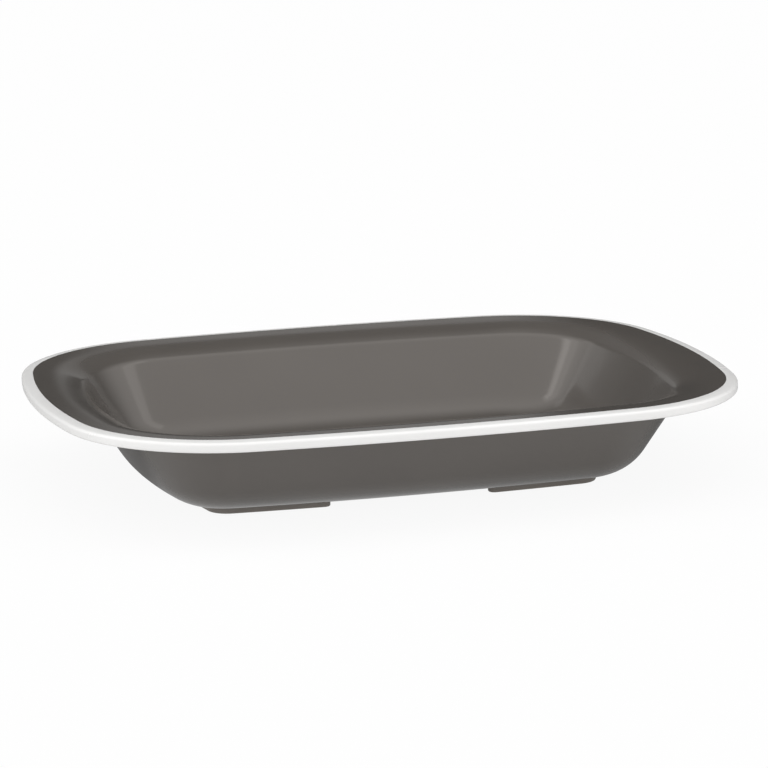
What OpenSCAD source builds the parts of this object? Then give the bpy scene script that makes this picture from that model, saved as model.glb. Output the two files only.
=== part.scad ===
// Oblong serving dish with a bowed plan, a gently curved flange, a white rim band and four corner feet.
// The shell and the band are one section each, carried round the plan outline.
// X runs along the dish, Y across it, and Z = 0 is the table.

/* [Overall] */
// Length over the rim band
dish_l = 280; // [250:1:330]
// Width over the rim band
dish_w = 211; // [195:1:250]
// Height from the table to the rim
dish_h = 41.6; // [38:0.1:60]

/* [Plan outline] */
// Corner radius at the outermost edge
corner_r = 65.5; // [63:0.5:80]
// Radius of the bowed long sides
side_r = 1000; // [700:10:3000]
// Radius of the bowed ends
end_r = 283.5; // [220:0.5:600]

/* [Shell section] */
// Thickness of the moulded wall and base
wall_t = 3; // [2.6:0.1:4]
// Straight width of the flange, inwards from the rim
flange_w = 6.5; // [4:0.1:10]
// Rise of the flange towards the rim, in degrees
flange_tilt = 2.5; // [0:0.5:6]
// Radius of the gentle fall from the flange to the shoulder, on the inside face
fall_r = 30; // [20:0.5:40]
// Slope at the end of that fall, in degrees
fall_angle = 28; // [20:1:34]
// Radius of the shoulder between that fall and the wall, on the inside face
shoulder_r = 5; // [4.6:0.1:9]
// Slope of the wall from the horizontal, in degrees
wall_angle = 57; // [54:0.5:66]
// Radius between wall and base, on the inside face
base_fillet_r = 20; // [12:0.1:26]

/* [Rim band] */
// Width of the band, in plan
band_w = 4.6; // [4:0.1:6]
// Height of the band
band_h = 4.2; // [4:0.1:6]
// Slope of the band's crowned top at its outer edge, in degrees
crown_angle = 10; // [6:1:20]
// Radius of the outer upper edge
band_edge_r = 1.3; // [0.8:0.1:1.8]
// Radius under the lower lip
band_lip_r = 0.9; // [0.5:0.1:1.4]
// Reach of the shell's tongue into the band
tongue_l = 1.6; // [1:0.1:2]
// Thickness of the tongue
tongue_t = 1.2; // [0.8:0.1:1.4]
// Bond line between the tongue and its groove
bond_gap = 0.1; // [0.05:0.01:0.2]

/* [Feet] */
// Height of the feet under the base
foot_h = 2.9; // [2:0.1:6]
// Width of the foot ribs
foot_w = 5; // [3:0.1:6]
// Distance of the feet from the edge of the flat base
foot_inset = 0.3; // [0:0.1:3]
// Open gap between two feet along a long side
side_gap = 65; // [40:1:90]
// Open gap between two feet across an end
end_gap = 36; // [20:1:50]

/* [Hidden] */

// Facets on each arc of a quarter of the plan, and on the arcs of the sections
end_steps = 3;
corner_steps = 12;
side_steps = 3;
arc_steps = 6;
fall_steps = 4;
lip_steps = 3;

// Smallest corner radius that an inset outline keeps
least_corner_r = 1;

body_colour = "dimgray";
band_colour = "whitesmoke";

// The rim line, where flange and band meet, is the reference for every inset
rim_inset = band_w;
rim_z = dish_h;

// Plan outline

// The three tangent arcs of one quarter at an inset, each as [centre, radius, first angle, last angle]
function quarter_arcs(inset) =
  let (
    r = max(corner_r - inset, least_corner_r),
    side = side_r - inset,
    end = end_r - inset,
    side_c = [0, dish_w / 2 - side_r],
    end_c = [dish_l / 2 - end_r, 0],
    apart = norm(end_c - side_c),
    along = (end_c - side_c) / apart,
    across = [along.y, -along.x],
    reach = ((side - r) ^ 2 - (end - r) ^ 2 + apart ^ 2) / (2 * apart),
    rise = sqrt((side - r) ^ 2 - reach ^ 2),
    corner_c = side_c + reach * along + rise * across,
    end_turn = atan2(corner_c.y, corner_c.x - end_c.x),
    side_turn = atan2(corner_c.y - side_c.y, corner_c.x)
  )
  [
    [end_c, end, 0, end_turn],
    [corner_c, r, end_turn, side_turn],
    [side_c, side, side_turn, 90]
  ];

function arc_point(centre, r, angle) = centre + r * [cos(angle), sin(angle)];

// Points of an arc, without its last one
function arc_points(arc, steps) =
  [for (i = [0 : steps - 1]) arc_point(arc[0], arc[1], arc[2] + (arc[3] - arc[2]) * i / steps)];

function mirror_x(points) = [for (p = points) [-p.x, p.y]];
function backwards(list) = [for (i = [len(list) - 1 : -1 : 0]) list[i]];
function turned(points) = [for (p = points) -p];

// The whole outline at an inset, anticlockwise from the middle of the right end
function outline(inset) =
  let (
    arcs = quarter_arcs(inset),
    quarter = concat(
      arc_points(arcs[0], end_steps), arc_points(arcs[1], corner_steps), arc_points(arcs[2], side_steps)
    ),
    top = [arc_point(arcs[2][0], arcs[2][1], 90)],
    inner = [for (i = [1 : len(quarter) - 1]) quarter[i]],
    half = concat(quarter, top, backwards(mirror_x(inner)))
  )
  concat(half, turned(half));

// Sections, as [inset from the outermost edge, height] points

// The way a face looks where its slope has this angle
function facing(slope) = [sin(slope), cos(slope)];

// Points along an arc of a section, by its slope, from point number start
function section_arc(centre, r, from, to, steps, start = 0) =
  [for (i = [start : steps]) centre + r * facing(from + (to - from) * i / steps)];

flange_end = [rim_inset + flange_w, rim_z - flange_w * tan(flange_tilt)];
fall_c = flange_end - fall_r * facing(flange_tilt);
shoulder_c = fall_c + (fall_r - shoulder_r) * facing(fall_angle);
wall_top = shoulder_c + shoulder_r * facing(wall_angle);
floor_z = foot_h + wall_t;
fillet_z = floor_z + base_fillet_r;
wall_drop = wall_top.y - fillet_z + base_fillet_r * cos(wall_angle);
base_inset = wall_top.x + wall_drop / tan(wall_angle) + base_fillet_r * sin(wall_angle);
fillet_c = [base_inset, fillet_z];

// The flange keeps its thickness out to the rim line, where its middle goes on as the tongue
under_shoulder = section_arc(shoulder_c, shoulder_r - wall_t, wall_angle, fall_angle, arc_steps);
under_fall = section_arc(fall_c, fall_r - wall_t, fall_angle, flange_tilt, fall_steps, 1);
flange_under_z = rim_z - wall_t / cos(flange_tilt);
tongue_z = rim_z - (wall_t + tongue_t) / 2;
tongue_inset = rim_inset - tongue_l;

shell_section = concat(
  section_arc(fillet_c, -(base_fillet_r + wall_t), 0, wall_angle, arc_steps),
  under_shoulder,
  under_fall,
  [
    [rim_inset, flange_under_z],
    [rim_inset, tongue_z],
    [tongue_inset, tongue_z],
    [tongue_inset, tongue_z + tongue_t],
    [rim_inset, tongue_z + tongue_t],
    [rim_inset, rim_z]
  ],
  section_arc(fall_c, fall_r, flange_tilt, fall_angle, fall_steps),
  section_arc(shoulder_c, shoulder_r, fall_angle, wall_angle, arc_steps, 1),
  section_arc(fillet_c, -base_fillet_r, wall_angle, 0, arc_steps)
);

// The band is crowned on top, turns under at the lip and is grooved for the tongue
band_back = rim_inset - bond_gap;
crown_r = (band_back - band_edge_r) / sin(crown_angle) + band_edge_r;
crown_c = [band_back, rim_z - crown_r];
edge_c = crown_c + (crown_r - band_edge_r) * facing(-crown_angle);
lip_c = [band_lip_r, rim_z - band_h + band_lip_r];
groove_inset = tongue_inset - bond_gap;
groove_z = tongue_z - bond_gap;
groove_t = tongue_t + 2 * bond_gap;

band_section = concat(
  section_arc(crown_c, crown_r, 0, -crown_angle, fall_steps),
  section_arc(edge_c, band_edge_r, -crown_angle, -90, arc_steps, 1),
  section_arc(lip_c, band_lip_r, -90, -180, lip_steps),
  [
    [band_back - band_lip_r, lip_c.y - band_lip_r],
    [band_back, lip_c.y],
    [band_back, groove_z],
    [groove_inset, groove_z],
    [groove_inset, groove_z + groove_t],
    [band_back, groove_z + groove_t]
  ]
);

// Solids made from a section carried round the outline

function rings(section) = [for (s = section) for (p = outline(s.x)) [p.x, p.y, s.y]];

// Quads between ring number a and ring number b of n points each
function strip(a, b, n) =
  [for (i = [0 : n - 1]) let (j = (i + 1) % n) [a * n + i, b * n + i, b * n + j, a * n + j]];

// An open section, closed by the flat base under it and the floor over it
module swept_dish(section) {
  n = len(outline(0));
  last = len(section) - 1;
  sides = [for (k = [0 : last - 1]) each strip(k, k + 1, n)];
  under = [for (i = [0 : n - 1]) i];
  top = [for (i = [n - 1 : -1 : 0]) last * n + i];
  polyhedron(points = rings(section), faces = concat(sides, [under, top]), convexity = 6);
}

// A closed section
module swept_ring(section) {
  n = len(outline(0));
  m = len(section);
  sides = [for (k = [0 : m - 1]) each strip((k + 1) % m, k, n)];
  polyhedron(points = rings(section), faces = sides, convexity = 6);
}

// Feet

foot_outer = base_inset + foot_inset;
foot_middle = foot_outer + foot_w / 2;

// One foot in the back right quarter, a rib along the outline with round ends
function foot_outline() =
  let (
    middle = quarter_arcs(foot_middle),
    first = asin((end_gap + foot_w) / 2 / middle[0][1]),
    last = 90 - asin((side_gap + foot_w) / 2 / middle[2][1]),
    outer = foot_edge(foot_outer, first, last),
    inner = foot_edge(foot_outer + foot_w, first, last),
    start = arc_point(middle[0][0], middle[0][1], first),
    finish = arc_point(middle[2][0], middle[2][1], last)
  )
  concat(outer, foot_cap(finish, last), backwards(inner), foot_cap(start, first + 180));

// One edge of a foot, from the angle first on the end arc to the angle last on the side arc
function foot_edge(inset, first, last) =
  let (arcs = quarter_arcs(inset))
  concat(
    arc_points([arcs[0][0], arcs[0][1], first, arcs[0][3]], end_steps),
    arc_points(arcs[1], corner_steps),
    arc_points([arcs[2][0], arcs[2][1], arcs[2][2], last], side_steps),
    [arc_point(arcs[2][0], arcs[2][1], last)]
  );

// The round end of a rib between its two edges
function foot_cap(centre, angle) =
  [for (i = [1 : arc_steps - 1]) arc_point(centre, foot_w / 2, angle + 180 * i / arc_steps)];

module foot(flip_x, flip_y) {
  color(body_colour)
    mirror([flip_x, 0, 0])
      mirror([0, flip_y, 0])
        linear_extrude(height = foot_h)
          polygon(foot_outline());
}

// Sub-parts

module dish_shell() {
  color(body_colour) swept_dish(shell_section);
}

module rim_band() {
  color(band_colour) swept_ring(band_section);
}

module foot_front_left() {
  foot(1, 1);
}

module foot_front_right() {
  foot(0, 1);
}

module foot_back_left() {
  foot(1, 0);
}

module foot_back_right() {
  foot(0, 0);
}

dish_shell();
rim_band();
foot_front_left();
foot_front_right();
foot_back_left();
foot_back_right();
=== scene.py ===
"""An oblong serving dish in glossy dark grey with a white rim, on four corner feet."""

import math
from typing import NamedTuple

import bpy
from mathutils import Matrix, Vector


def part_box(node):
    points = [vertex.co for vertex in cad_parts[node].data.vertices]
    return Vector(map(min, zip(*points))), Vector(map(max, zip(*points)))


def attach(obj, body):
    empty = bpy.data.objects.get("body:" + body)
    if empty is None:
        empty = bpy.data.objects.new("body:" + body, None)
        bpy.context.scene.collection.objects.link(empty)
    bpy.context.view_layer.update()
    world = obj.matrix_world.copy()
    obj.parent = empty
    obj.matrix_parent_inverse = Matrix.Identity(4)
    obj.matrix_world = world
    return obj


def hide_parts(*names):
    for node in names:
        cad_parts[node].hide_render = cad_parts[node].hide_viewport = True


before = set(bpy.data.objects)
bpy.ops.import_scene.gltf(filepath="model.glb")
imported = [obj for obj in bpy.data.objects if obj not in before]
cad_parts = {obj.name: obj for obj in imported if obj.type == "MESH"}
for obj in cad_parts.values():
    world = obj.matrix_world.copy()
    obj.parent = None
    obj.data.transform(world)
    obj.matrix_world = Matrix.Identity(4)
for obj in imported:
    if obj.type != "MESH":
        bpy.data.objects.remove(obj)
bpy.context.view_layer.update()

MM = 0.001

# Plan outline: its size comes from the frame, and the radii are those of the outermost edge
BAND_LOW, BAND_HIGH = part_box("rim_band")
HALF_L = BAND_HIGH.x
HALF_W = BAND_HIGH.y
RIM_Z = BAND_HIGH.z
CORNER_R = 65.5 * MM
SIDE_R = 1000 * MM
END_R = 283.5 * MM

# Section of the shell
WALL_T = 3 * MM
FLANGE_W = 6.5 * MM
FLANGE_TILT = math.radians(2.5)
FALL_R = 30 * MM
FALL_ANGLE = math.radians(28)
SHOULDER_R = 5 * MM
WALL_ANGLE = math.radians(57)
BASE_FILLET_R = 20 * MM

# Section of the rim band, and the tongue of the shell that it sits on
BAND_W = 4.6 * MM
BAND_BOTTOM = BAND_LOW.z
CROWN_ANGLE = math.radians(10)
BAND_EDGE_R = 1.3 * MM
LIP_R = 0.9 * MM
TONGUE_L = 1.6 * MM
TONGUE_T = 1.2 * MM
BOND_GAP = 0.02 * MM

# Feet, and the quarter of the plan that each is in, as signs of x and y
FOOT_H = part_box("foot_back_right")[1].z
FOOT_W = 5 * MM
FOOT_INSET = 0.3 * MM
FOOT_EDGE_R = 0.6 * MM
SIDE_GAP = 65 * MM
END_GAP = 36 * MM
FEET = {
    "foot_front_left": (-1, -1),
    "foot_front_right": (1, -1),
    "foot_back_left": (-1, 1),
    "foot_back_right": (1, 1),
}

# Steps along the arcs of the plan and of the sections, and other measures of the meshes
END_STEPS = 8
CORNER_STEPS = 28
SIDE_STEPS = 10
FILLET_STEPS = 18
FALL_STEPS = 8
SHOULDER_STEPS = 10
CROWN_STEPS = 5
BAND_EDGE_STEPS = 10
LIP_STEPS = 6
FLAT_STEPS = 6
FOOT_CAP_STEPS = 10
FOOT_EDGE_STEPS = 4
FLAT_INSET = 1 * MM
MERGE_DISTANCE = 0.002 * MM
SMOOTH_ANGLE = math.radians(30)

# Axes that the sections and the plan turn about
ACROSS = Vector((0, -1, 0))
UPRIGHT = Vector((0, 0, 1))


# The plan outline

class Arc(NamedTuple):
    """An arc of the plan outline, from its first angle to its last."""
    centre: Vector
    radius: float
    first: float
    last: float

    def turn(self):
        """The angle that the arc covers."""
        return self.last - self.first

    def point(self, angle):
        """A point of the arc's circle."""
        return self.centre + self.radius * Vector((math.cos(angle), math.sin(angle)))


def plan_arcs(inset):
    """The three tangent arcs of the back right quarter: end, corner and side."""
    corner = CORNER_R - inset
    side = SIDE_R - inset
    end = END_R - inset
    side_c = Vector((0, HALF_W - SIDE_R))
    end_c = Vector((HALF_L - END_R, 0))
    apart = (end_c - side_c).length
    along = (end_c - side_c) / apart
    across = Vector((along.y, -along.x))
    reach = ((side - corner) ** 2 - (end - corner) ** 2 + apart ** 2) / (2 * apart)
    rise = math.sqrt((side - corner) ** 2 - reach ** 2)
    corner_c = side_c + reach * along + rise * across
    end_turn = math.atan2(corner_c.y, corner_c.x - end_c.x)
    side_turn = math.atan2(corner_c.y - side_c.y, corner_c.x)
    return (
        Arc(end_c, end, 0, end_turn),
        Arc(corner_c, corner, end_turn, side_turn),
        Arc(side_c, side, side_turn, math.pi / 2),
    )


def in_quarter(point, quarter):
    """A point of the back right quarter, mirrored into the quarter with these signs of x and y."""
    return Vector((quarter[0] * point.x, quarter[1] * point.y, 0))


# Drawing with the extrude and spin operators

def start_drawing(name, point):
    """A new piece in edit mode that is one selected vertex."""
    bpy.ops.object.select_all(action="DESELECT")
    bpy.ops.mesh.primitive_plane_add(size=2 * HALF_L)
    piece = bpy.context.object
    piece.name = name
    piece.data.name = name
    bpy.ops.object.mode_set(mode="EDIT")
    bpy.ops.mesh.select_all(action="SELECT")
    bpy.ops.mesh.merge(type="CENTER")
    bpy.ops.transform.translate(value=point)
    return piece


def draw_line(start, end, steps=1):
    """A straight run from the selected vertex."""
    step = (end - start) / steps
    for _ in range(steps):
        bpy.ops.mesh.extrude_region_move(TRANSFORM_OT_translate={"value": step})


def draw_lines(points):
    """Straight runs from the selected vertex, which is the first point, to each of the others in turn."""
    for start, end in zip(points, points[1:]):
        draw_line(start, end)


def draw_arc(centre, turn, steps, axis):
    """Turns the selection about an axis, by the right-hand rule, and leaves its trail as edges or faces."""
    bpy.ops.mesh.spin(steps=steps, angle=-turn, center=centre, axis=axis)


def merge_doubles():
    """Selects everything and closes the drawing where it meets its start."""
    bpy.ops.mesh.select_all(action="SELECT")
    bpy.ops.mesh.remove_doubles(threshold=MERGE_DISTANCE)


def carry_round():
    """Carries the drawn section, which stands at the middle of the right end, round the whole plan."""
    end, corner, side = plan_arcs(0)
    bpy.ops.mesh.select_all(action="SELECT")
    for sign in (1, -1):
        # Half the plan, from the middle of one end to the middle of the other
        leaving, arriving = (sign, sign), (-sign, sign)
        draw_arc(in_quarter(end.centre, leaving), end.turn(), END_STEPS, UPRIGHT)
        draw_arc(in_quarter(corner.centre, leaving), corner.turn(), CORNER_STEPS, UPRIGHT)
        draw_arc(in_quarter(side.centre, leaving), 2 * side.turn(), 2 * SIDE_STEPS, UPRIGHT)
        draw_arc(in_quarter(corner.centre, arriving), corner.turn(), CORNER_STEPS, UPRIGHT)
        draw_arc(in_quarter(end.centre, arriving), end.turn(), END_STEPS, UPRIGHT)
    merge_doubles()


def lies_at(mesh, edge, height):
    """Whether both ends of an edge are at a height."""
    return all(abs(mesh.vertices[v].co.z - height) < MERGE_DISTANCE for v in edge.vertices)


def select_open_edges(piece, height):
    """Selects the open edges of a piece that lie at a height."""
    bpy.ops.mesh.select_all(action="DESELECT")
    bpy.ops.mesh.select_mode(type="EDGE")
    bpy.ops.mesh.select_non_manifold(
        use_wire=False, use_multi_face=False, use_non_contiguous=False, use_verts=False
    )
    bpy.ops.object.mode_set(mode="OBJECT")
    mesh = piece.data
    for edge in mesh.edges:
        edge.select = edge.select and lies_at(mesh, edge, height)
    for vertex in mesh.vertices:
        vertex.select = False
    bpy.ops.object.mode_set(mode="EDIT")


def finish_piece(piece, finish, node):
    """Turns the faces outwards, smooths them, and sets the piece in the frame."""
    bpy.ops.mesh.select_mode(type="VERT")
    bpy.ops.mesh.select_all(action="SELECT")
    bpy.ops.mesh.normals_make_consistent(inside=False)
    bpy.ops.object.mode_set(mode="OBJECT")
    bpy.ops.object.shade_smooth_by_angle(angle=SMOOTH_ANGLE)
    piece.data.materials.clear()
    piece.data.materials.append(finish)
    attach(piece, "root")
    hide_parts(node)


# Points of the section, as inset from the outermost edge and height

def section_point(inset, height):
    """The place of a point where the section stands at the middle of the right end."""
    return Vector((HALF_L - inset, 0, height))


def facing(slope):
    """The way a face of the section looks where its slope has this angle."""
    return Vector((math.sin(slope), math.cos(slope)))


FLANGE_END = Vector((BAND_W + FLANGE_W, RIM_Z - FLANGE_W * math.tan(FLANGE_TILT)))
FALL_C = FLANGE_END - FALL_R * facing(FLANGE_TILT)
SHOULDER_C = FALL_C + (FALL_R - SHOULDER_R) * facing(FALL_ANGLE)
WALL_TOP = SHOULDER_C + SHOULDER_R * facing(WALL_ANGLE)
BOTTOM_Z = FOOT_H + WALL_T
FILLET_Z = BOTTOM_Z + BASE_FILLET_R
WALL_DROP = WALL_TOP.y - FILLET_Z + BASE_FILLET_R * math.cos(WALL_ANGLE)
BASE_INSET = WALL_TOP.x + WALL_DROP / math.tan(WALL_ANGLE) + BASE_FILLET_R * math.sin(WALL_ANGLE)
FILLET_C = Vector((BASE_INSET, FILLET_Z))
WALL_FOOT = FILLET_C - BASE_FILLET_R * facing(WALL_ANGLE)
TONGUE_Z = RIM_Z - (WALL_T + TONGUE_T) / 2


# The pieces

def make_shell(finish):
    """The grey dish: its section runs from the underside round the flange's edge to the bottom inside."""
    under = section_point(BASE_INSET, FOOT_H)
    wall_low = section_point(*(FILLET_C - (BASE_FILLET_R + WALL_T) * facing(WALL_ANGLE)))
    wall_high = section_point(*(SHOULDER_C + (SHOULDER_R - WALL_T) * facing(WALL_ANGLE)))
    flange_low = section_point(*(FALL_C + (FALL_R - WALL_T) * facing(FLANGE_TILT)))
    edge = [
        section_point(BAND_W, RIM_Z - WALL_T / math.cos(FLANGE_TILT)),
        section_point(BAND_W, TONGUE_Z),
        section_point(BAND_W - TONGUE_L, TONGUE_Z),
        section_point(BAND_W - TONGUE_L, TONGUE_Z + TONGUE_T),
        section_point(BAND_W, TONGUE_Z + TONGUE_T),
        section_point(BAND_W, RIM_Z),
    ]
    fall_c = section_point(*FALL_C)
    shoulder_c = section_point(*SHOULDER_C)
    fillet_c = section_point(*FILLET_C)
    fall_turn = FALL_ANGLE - FLANGE_TILT
    shoulder_turn = WALL_ANGLE - FALL_ANGLE
    shell = start_drawing("shell", under)
    draw_arc(fillet_c, WALL_ANGLE, FILLET_STEPS, ACROSS)
    draw_line(wall_low, wall_high, FLAT_STEPS)
    draw_arc(shoulder_c, -shoulder_turn, SHOULDER_STEPS, ACROSS)
    draw_arc(fall_c, -fall_turn, FALL_STEPS, ACROSS)
    draw_line(flange_low, edge[0], FLAT_STEPS)
    draw_lines(edge)
    draw_line(edge[-1], section_point(*FLANGE_END), FLAT_STEPS)
    draw_arc(fall_c, fall_turn, FALL_STEPS, ACROSS)
    draw_arc(shoulder_c, shoulder_turn, SHOULDER_STEPS, ACROSS)
    draw_line(section_point(*WALL_TOP), section_point(*WALL_FOOT), FLAT_STEPS)
    draw_arc(fillet_c, -WALL_ANGLE, FILLET_STEPS, ACROSS)
    carry_round()
    for height in (FOOT_H, BOTTOM_Z):
        select_open_edges(shell, height)
        bpy.ops.mesh.edge_face_add()
        bpy.ops.mesh.select_mode(type="FACE")
        bpy.ops.mesh.inset(thickness=FLAT_INSET, use_even_offset=True)
    finish_piece(shell, finish, "dish_shell")


def make_band(finish):
    """The white rim: its section is crowned, turns under at the lip and is grooved for the tongue."""
    back = BAND_W - BOND_GAP
    crown_r = (back - BAND_EDGE_R) / math.sin(CROWN_ANGLE) + BAND_EDGE_R
    crown_c = Vector((back, RIM_Z - crown_r))
    edge_c = crown_c + (crown_r - BAND_EDGE_R) * facing(-CROWN_ANGLE)
    lip_z = BAND_BOTTOM + LIP_R
    groove = BAND_W - TONGUE_L - BOND_GAP
    crest = section_point(back, RIM_Z)
    inner_side = [
        section_point(LIP_R, BAND_BOTTOM),
        section_point(back - LIP_R, BAND_BOTTOM),
        section_point(back, lip_z),
        section_point(back, TONGUE_Z - BOND_GAP),
        section_point(groove, TONGUE_Z - BOND_GAP),
        section_point(groove, TONGUE_Z + TONGUE_T + BOND_GAP),
        section_point(back, TONGUE_Z + TONGUE_T + BOND_GAP),
        crest,
    ]
    band = start_drawing("rim", crest)
    draw_arc(section_point(*crown_c), -CROWN_ANGLE, CROWN_STEPS, ACROSS)
    draw_arc(section_point(*edge_c), CROWN_ANGLE - math.pi / 2, BAND_EDGE_STEPS, ACROSS)
    draw_line(section_point(0, edge_c.y), section_point(0, lip_z))
    draw_arc(section_point(LIP_R, lip_z), -math.pi / 2, LIP_STEPS, ACROSS)
    draw_lines(inner_side)
    carry_round()
    finish_piece(band, finish, "rim_band")


def make_foot(node, quarter, finish):
    """A low rib under one corner: an outline with round ends, raised and eased along its lower edge."""
    outer_end, outer_corner, outer_side = plan_arcs(BASE_INSET + FOOT_INSET)
    middle_end, _, middle_side = plan_arcs(BASE_INSET + FOOT_INSET + FOOT_W / 2)
    inner_end, inner_corner, inner_side = plan_arcs(BASE_INSET + FOOT_INSET + FOOT_W)
    first = math.asin((END_GAP + FOOT_W) / 2 / middle_end.radius)
    last = math.pi / 2 - math.asin((SIDE_GAP + FOOT_W) / 2 / middle_side.radius)
    outline = (
        (outer_end.centre, outer_end.last - first, END_STEPS),
        (outer_corner.centre, outer_corner.turn(), CORNER_STEPS),
        (outer_side.centre, last - outer_side.first, SIDE_STEPS),
        (middle_side.point(last), math.pi, FOOT_CAP_STEPS),
        (inner_side.centre, inner_side.first - last, SIDE_STEPS),
        (inner_corner.centre, -inner_corner.turn(), CORNER_STEPS),
        (inner_end.centre, first - inner_end.last, END_STEPS),
        (middle_end.point(first), math.pi, FOOT_CAP_STEPS),
    )
    turning = quarter[0] * quarter[1]
    foot = start_drawing(node + "_rib", in_quarter(outer_end.point(first), quarter))
    for centre, turn, steps in outline:
        draw_arc(in_quarter(centre, quarter), turning * turn, steps, UPRIGHT)
    merge_doubles()
    bpy.ops.mesh.edge_face_add()
    bpy.ops.mesh.select_mode(type="FACE")
    bpy.ops.mesh.extrude_region_move(TRANSFORM_OT_translate={"value": (0, 0, FOOT_H)})
    bpy.ops.object.mode_set(mode="OBJECT")
    for edge in foot.data.edges:
        edge.select = lies_at(foot.data, edge, 0)
    bpy.ops.object.mode_set(mode="EDIT")
    bpy.ops.mesh.select_mode(type="EDGE")
    bpy.ops.mesh.bevel(offset=FOOT_EDGE_R, segments=FOOT_EDGE_STEPS, affect="EDGES")
    finish_piece(foot, finish, node)


# Shader nodes

def new_finish(name):
    """A material with a node tree and a principled shader."""
    finish = bpy.data.materials.new(name)
    finish.use_nodes = True
    return finish


def own_place(tree):
    """A place on the piece, in the piece's own coordinates."""
    return tree.nodes.new("ShaderNodeTexCoord").outputs["Object"]


def split_axes(tree, vector):
    """The sockets X, Y and Z of a vector."""
    node = tree.nodes.new("ShaderNodeSeparateXYZ")
    tree.links.new(vector, node.inputs["Vector"])
    return node.outputs


def feed(tree, socket, value):
    """Sets a socket to a number or links it to another one."""
    if isinstance(value, (int, float)):
        socket.default_value = value
    else:
        tree.links.new(value, socket)


def maths(tree, operation, first, second):
    """A maths node on two sockets or numbers."""
    node = tree.nodes.new("ShaderNodeMath")
    node.operation = operation
    feed(tree, node.inputs[0], first)
    feed(tree, node.inputs[1], second)
    return node.outputs[0]


def mapped(tree, value, span, low, high, way="LINEAR"):
    """Passes from low at the start of a span to high at its end, and stays there."""
    node = tree.nodes.new("ShaderNodeMapRange")
    node.interpolation_type = way
    names = ("Value", "From Min", "From Max", "To Min", "To Max")
    for name, given in zip(names, (value, *span, low, high)):
        feed(tree, node.inputs[name], given)
    return node.outputs["Result"]


def eased(tree, value, span, low, high):
    """Passes as mapped does, with a smooth start and end."""
    return mapped(tree, value, span, low, high, "SMOOTHSTEP")


def noise(tree, place, scale, detail):
    """A noise texture over places on a piece."""
    node = tree.nodes.new("ShaderNodeTexNoise")
    node.inputs["Scale"].default_value = scale
    node.inputs["Detail"].default_value = detail
    tree.links.new(place, node.inputs["Vector"])
    return node.outputs["Fac"]


def mixed(tree, share, first, second):
    """Two shaders, with the second one's share."""
    node = tree.nodes.new("ShaderNodeMixShader")
    tree.links.new(share, node.inputs["Fac"])
    tree.links.new(first, node.inputs[1])
    tree.links.new(second, node.inputs[2])
    return node.outputs["Shader"]


def show_surface(tree, shader):
    """Makes a shader the surface of its material."""
    tree.links.new(shader, tree.nodes["Material Output"].inputs["Surface"])


# Finishes: tint of the gloss, pale and deep colours of the clouds, and range of the roughness

MELAMINE_IOR = 1.6
GREY_GLOSS = (1, 0.95, 0.91)
GREY_PALE = (0.0905, 0.082, 0.0737)
GREY_DEEP = (0.0843, 0.0759, 0.0685)
GREY_ROUGHNESS = (0.11, 0.15)
# The feet's colours are far paler than the shell's grey: painted light that stands in for light reaching
# the feet from below
FOOT_PALE_PAINTED_LIGHT = (0.225, 0.204, 0.184)
FOOT_DEEP_PAINTED_LIGHT = (0.203, 0.184, 0.166)
FOOT_ROUGHNESS = (0.3, 0.4)
WHITE_GLOSS = (1, 1, 1)
WHITE_PALE = (0.84, 0.835, 0.825)
WHITE_DEEP = (0.81, 0.805, 0.795)
WHITE_ROUGHNESS = (0.22, 0.28)

# Scale and detail of the noises, and the span of their middle values
CLOUD_NOISE = (24, 4)
POLISH_NOISE = (60, 5)
RIPPLE_NOISE = (90, 2)
NOISE_SPAN = (0.3, 0.7)
RIPPLE_STRENGTH = 0.05
RIPPLE_DEPTH = 0.1 * MM


def glossy_melamine(name, pale, deep, gloss, roughness):
    """Moulded gloss: faint clouds in the colour, uneven polish and the slight ripple of a moulded skin."""
    finish = new_finish(name)
    tree = finish.node_tree
    shader = tree.nodes["Principled BSDF"]
    shader.inputs["IOR"].default_value = MELAMINE_IOR
    shader.inputs["Specular Tint"].default_value = (*gloss, 1)
    place = own_place(tree)
    cloud = mapped(tree, noise(tree, place, *CLOUD_NOISE), NOISE_SPAN, 0, 1)
    tint = tree.nodes.new("ShaderNodeMix")
    tint.data_type = "RGBA"
    tint.inputs["A"].default_value = (*deep, 1)
    tint.inputs["B"].default_value = (*pale, 1)
    tree.links.new(cloud, tint.inputs["Factor"])
    tree.links.new(tint.outputs["Result"], shader.inputs["Base Color"])
    polish = mapped(tree, noise(tree, place, *POLISH_NOISE), NOISE_SPAN, *roughness)
    tree.links.new(polish, shader.inputs["Roughness"])
    bump = tree.nodes.new("ShaderNodeBump")
    bump.inputs["Strength"].default_value = RIPPLE_STRENGTH
    bump.inputs["Distance"].default_value = RIPPLE_DEPTH
    tree.links.new(noise(tree, place, *RIPPLE_NOISE), bump.inputs["Height"])
    tree.links.new(bump.outputs["Normal"], shader.inputs["Normal"])
    return finish


# Floor

FLOOR_SIZE = 14
FLOOR_DROP = 0.05 * MM
FLOOR_COLOUR = (0.85, 0.85, 0.85, 1)
FLOOR_ROUGHNESS = 0.9

# Share of the floor's glow in what each kind of ray meets
FLOOR_SHARES = {
    "Is Camera Ray": 0.92,
    "Is Glossy Ray": 0.85,
    "Is Transmission Ray": 0.85,
    "Is Diffuse Ray": 0.4,
}

# Glow of the floor's mirror image in front of the rim and behind the dish, and the spans where it changes:
# painted shade in front, a painted shadow of the dish behind
FLOOR_PAINTED_SHADE_AHEAD = 0.8
FLOOR_AHEAD_SPAN = (-0.12, -0.085)
FLOOR_PAINTED_SHADOW_BEHIND = 0.2
FLOOR_BEHIND_SPAN = (-0.09, -0.003)
FLOOR_LEAN = 0.15


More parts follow.
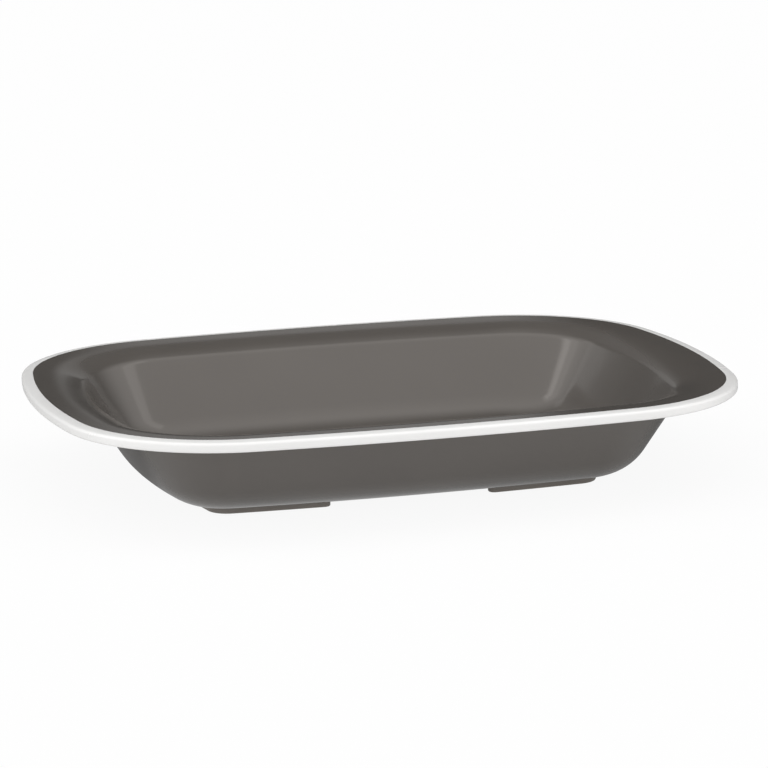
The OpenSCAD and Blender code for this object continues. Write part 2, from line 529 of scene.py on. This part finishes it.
def make_floor():
    """A wide white floor that takes the dish's shadow, lights its underside and is clear from below.

    Its mirror image in the gloss carries painted shade, a little dimmer in front of the rim, and a painted
    shadow of the dish, dark behind it.
    """
    bpy.ops.object.select_all(action="DESELECT")
    bpy.ops.mesh.primitive_plane_add(size=FLOOR_SIZE, location=(0, 0, -FLOOR_DROP))
    bpy.ops.object.transform_apply(location=True, rotation=True, scale=True)
    floor = bpy.context.object
    floor.name = "floor"
    finish = new_finish("white_floor")
    tree = finish.node_tree
    shader = tree.nodes["Principled BSDF"]
    shader.inputs["Base Color"].default_value = FLOOR_COLOUR
    shader.inputs["Roughness"].default_value = FLOOR_ROUGHNESS
    axes = split_axes(tree, own_place(tree))
    away = maths(tree, "ADD", axes["Y"], maths(tree, "MULTIPLY", axes["X"], FLOOR_LEAN))
    # Painted shade in front of the rim and a painted shadow behind the dish, only in what the gloss mirrors
    ahead = eased(tree, axes["Y"], FLOOR_AHEAD_SPAN, FLOOR_PAINTED_SHADE_AHEAD, 1)
    mirrored = eased(tree, away, FLOOR_BEHIND_SPAN, ahead, FLOOR_PAINTED_SHADOW_BEHIND)
    ray = tree.nodes.new("ShaderNodeLightPath").outputs
    plain = maths(tree, "MAXIMUM", ray["Is Camera Ray"], ray["Is Diffuse Ray"])
    glow = tree.nodes.new("ShaderNodeEmission")
    tree.links.new(maths(tree, "MAXIMUM", plain, mirrored), glow.inputs["Strength"])
    share = 0
    for kind, part in FLOOR_SHARES.items():
        share = maths(tree, "MAXIMUM", share, maths(tree, "MULTIPLY", ray[kind], part))
    glowing = mixed(tree, share, shader.outputs["BSDF"], glow.outputs["Emission"])
    underside = tree.nodes.new("ShaderNodeNewGeometry").outputs["Backfacing"]
    from_below = maths(tree, "MULTIPLY", ray["Is Camera Ray"], underside)
    clear = tree.nodes.new("ShaderNodeBsdfTransparent").outputs["BSDF"]
    show_surface(tree, mixed(tree, from_below, glowing, clear))
    floor.data.materials.append(finish)


# Tent: it is open towards TENT_BACK, which points to the back right and a little up

TENT_BACK = (0.29, 0.96, 0.235)
TENT_OPEN_SPAN = (0.245, 0.867)
TENT_WHITE = 1.46
TENT_DIM_LEFT = 0.144
TENT_DIM_RIGHT = 0.036
TENT_DIM_SPAN = (-0.4, 0.3)
TENT_LOW_SHARE = 0.42
TENT_LOW_SPAN = (0.32, 0.62)
TENT_FRONT_SPAN = (-0.5, 0.1)


def make_tent():
    """A soft white room round the dish, dim behind it and less bright low down in front."""
    world = bpy.context.scene.world or bpy.data.worlds.new("studio")
    bpy.context.scene.world = world
    world.use_nodes = True
    tree = world.node_tree
    direction = tree.nodes.new("ShaderNodeTexCoord").outputs["Generated"]
    axes = split_axes(tree, direction)
    backward = tree.nodes.new("ShaderNodeVectorMath")
    backward.operation = "DOT_PRODUCT"
    tree.links.new(direction, backward.inputs[0])
    backward.inputs[1].default_value = TENT_BACK
    dim = eased(tree, axes["X"], TENT_DIM_SPAN, TENT_DIM_LEFT, TENT_DIM_RIGHT)
    tent = eased(tree, backward.outputs["Value"], TENT_OPEN_SPAN, TENT_WHITE, dim)
    low = eased(tree, axes["Z"], TENT_LOW_SPAN, TENT_LOW_SHARE, 0)
    front = eased(tree, axes["Y"], TENT_FRONT_SPAN, 1, 0)
    kept = maths(tree, "SUBTRACT", 1, maths(tree, "MULTIPLY", low, front))
    background = tree.nodes["Background"]
    background.inputs["Color"].default_value = (1, 1, 1, 1)
    tree.links.new(maths(tree, "MULTIPLY", tent, kept), background.inputs["Strength"])


# Card: its glow and its fades follow the coordinates of places on it, and some of them lean along it

CARD_SIZE = 0.62
CARD_PLACE = (0.05, 0.3945, 0.311)
CARD_TURN = math.radians(-62.8)
CARD_LOW_GLOW = 0.265
CARD_HIGH_GLOW = 0.17
CARD_GLOW_SPAN = (0.15, 0.28)
CARD_GLOW_LEAN = 0.1
CARD_RIGHT_SPAN = (0.185, 0.245)
CARD_LEFT_SPAN = (0.47, 0.54)
CARD_BOTTOM_SPAN = (0.01, 0.03)
CARD_TOP_SPAN = (0.32, 0.46)
CARD_EDGE_LEAN = -0.2
CARD_CORNER_SHARE = 0.35
CARD_CORNER_SPAN = (0.012, 0.042)
CARD_CORNER_LEAN = -0.44


def leaning_height(tree, axes, lean):
    """Heights over a line that falls or rises along the card."""
    return maths(tree, "ADD", axes["Z"], maths(tree, "MULTIPLY", axes["Y"], lean))


def make_card():
    """A dim card behind the dish that only its gloss shows, brightest low down and fading at the edges."""
    bpy.ops.object.select_all(action="DESELECT")
    bpy.ops.mesh.primitive_plane_add(
        size=CARD_SIZE, location=CARD_PLACE, rotation=(math.pi / 2, 0, CARD_TURN)
    )
    bpy.ops.object.transform_apply(location=True, rotation=True, scale=True)
    card = bpy.context.object
    card.name = "back_card"
    finish = new_finish("card_glow")
    tree = finish.node_tree
    tree.nodes.remove(tree.nodes["Principled BSDF"])
    axes = split_axes(tree, own_place(tree))
    edge_height = leaning_height(tree, axes, CARD_EDGE_LEAN)
    glow_height = leaning_height(tree, axes, CARD_GLOW_LEAN)
    corner_height = leaning_height(tree, axes, CARD_CORNER_LEAN)
    level = eased(tree, glow_height, CARD_GLOW_SPAN, CARD_LOW_GLOW, CARD_HIGH_GLOW)
    fades = (
        eased(tree, axes["Y"], CARD_RIGHT_SPAN, 0, 1),
        eased(tree, axes["Y"], CARD_LEFT_SPAN, 1, 0),
        eased(tree, edge_height, CARD_BOTTOM_SPAN, 0, 1),
        eased(tree, edge_height, CARD_TOP_SPAN, 1, 0),
        eased(tree, corner_height, CARD_CORNER_SPAN, 1, CARD_CORNER_SHARE),
    )
    for fade in fades:
        level = maths(tree, "MULTIPLY", level, fade)
    glow = tree.nodes.new("ShaderNodeEmission")
    tree.links.new(level, glow.inputs["Strength"])
    clear = tree.nodes.new("ShaderNodeBsdfTransparent")
    add = tree.nodes.new("ShaderNodeAddShader")
    tree.links.new(glow.outputs["Emission"], add.inputs[0])
    tree.links.new(clear.outputs["BSDF"], add.inputs[1])
    show_surface(tree, add.outputs["Shader"])
    card.data.materials.append(finish)
    card.visible_camera = False
    card.visible_diffuse = False
    card.visible_shadow = False


# Light panels: azimuth and elevation in degrees, width, height, and how bright they look

PANEL_DISTANCE = 2
PANELS = {
    "left_wide": (-112.5, 41.5, 0.54, 1.0, 0.42),
    "left_strip": (-104.8, 38, 0.3, 1.0, 0.95),
    "back_left": (-146, 31, 0.51, 0.81, 0.3),
    "right_strip": (71, 45, 0.46, 1.6, 0.65),
}


def towards(azimuth, elevation):
    """A direction by its azimuth from the front towards the right and its elevation, in degrees."""
    turn, rise = math.radians(azimuth), math.radians(elevation)
    level = math.cos(rise)
    return Vector((math.sin(turn) * level, -math.cos(turn) * level, math.sin(rise)))


def make_panel(name, azimuth, elevation, width, height, glow):
    """A soft light panel that faces the dish."""
    place = PANEL_DISTANCE * towards(azimuth, elevation)
    data = bpy.data.lights.new(name, "AREA")
    data.shape = "RECTANGLE"
    data.size = width
    data.size_y = height
    data.energy = math.pi * width * height * glow
    lamp = bpy.data.objects.new(name, data)
    bpy.context.scene.collection.objects.link(lamp)
    lamp.location = place
    lamp.rotation_euler = (-place).to_track_quat("-Z", "Y").to_euler()
    lamp.visible_camera = False


# Camera: angles in degrees, and the lens by the size of the picture in pixels

CAMERA_AZIMUTH = -16.07
CAMERA_ELEVATION = 11.91
CAMERA_ROLL = -0.90
CAMERA_DISTANCE = 1388 * MM
PICTURE = 768
FOCAL_PIXELS = 3436
CENTRE_PIXEL = (375.6, 372.6)
SENSOR_WIDTH = 36
CLIP_END = 50


def make_camera():
    """A long lens a little above the rim, turned to the dish's left, aimed at the middle of the rim."""
    data = bpy.data.cameras.new("camera")
    camera = bpy.data.objects.new("camera", data)
    bpy.context.scene.collection.objects.link(camera)
    back = towards(CAMERA_AZIMUTH, CAMERA_ELEVATION)
    right = UPRIGHT.cross(back).normalized()
    up = back.cross(right)
    roll = math.radians(CAMERA_ROLL)
    rolled_right = math.cos(roll) * right + math.sin(roll) * up
    rolled_up = back.cross(rolled_right)
    axes = Matrix((rolled_right, rolled_up, back)).transposed()
    place = Vector((0, 0, RIM_Z)) + CAMERA_DISTANCE * back
    camera.matrix_world = Matrix.Translation(place) @ axes.to_4x4()
    data.sensor_width = SENSOR_WIDTH
    data.lens = FOCAL_PIXELS / PICTURE * SENSOR_WIDTH
    data.shift_x = (PICTURE / 2 - CENTRE_PIXEL[0]) / PICTURE
    data.shift_y = (CENTRE_PIXEL[1] - PICTURE / 2) / PICTURE
    data.clip_end = CLIP_END
    bpy.context.scene.camera = camera


# The dish

grey = glossy_melamine("grey_gloss_melamine", GREY_PALE, GREY_DEEP, GREY_GLOSS, GREY_ROUGHNESS)
# The feet's matte finish carries paler colours, which are painted light on the same grey melamine
foot_grey_painted_light = glossy_melamine("pale_foot_melamine_painted_light", FOOT_PALE_PAINTED_LIGHT, FOOT_DEEP_PAINTED_LIGHT, GREY_GLOSS, FOOT_ROUGHNESS)
white = glossy_melamine("white_gloss_melamine", WHITE_PALE, WHITE_DEEP, WHITE_GLOSS, WHITE_ROUGHNESS)
make_shell(grey)
make_band(white)
for foot_node, foot_quarter in FEET.items():
    make_foot(foot_node, foot_quarter, foot_grey_painted_light)

# The studio

make_floor()
make_tent()
make_card()
for panel_name, panel in PANELS.items():
    make_panel(panel_name, *panel)
make_camera()
bpy.context.scene.view_settings.view_transform = "Standard"
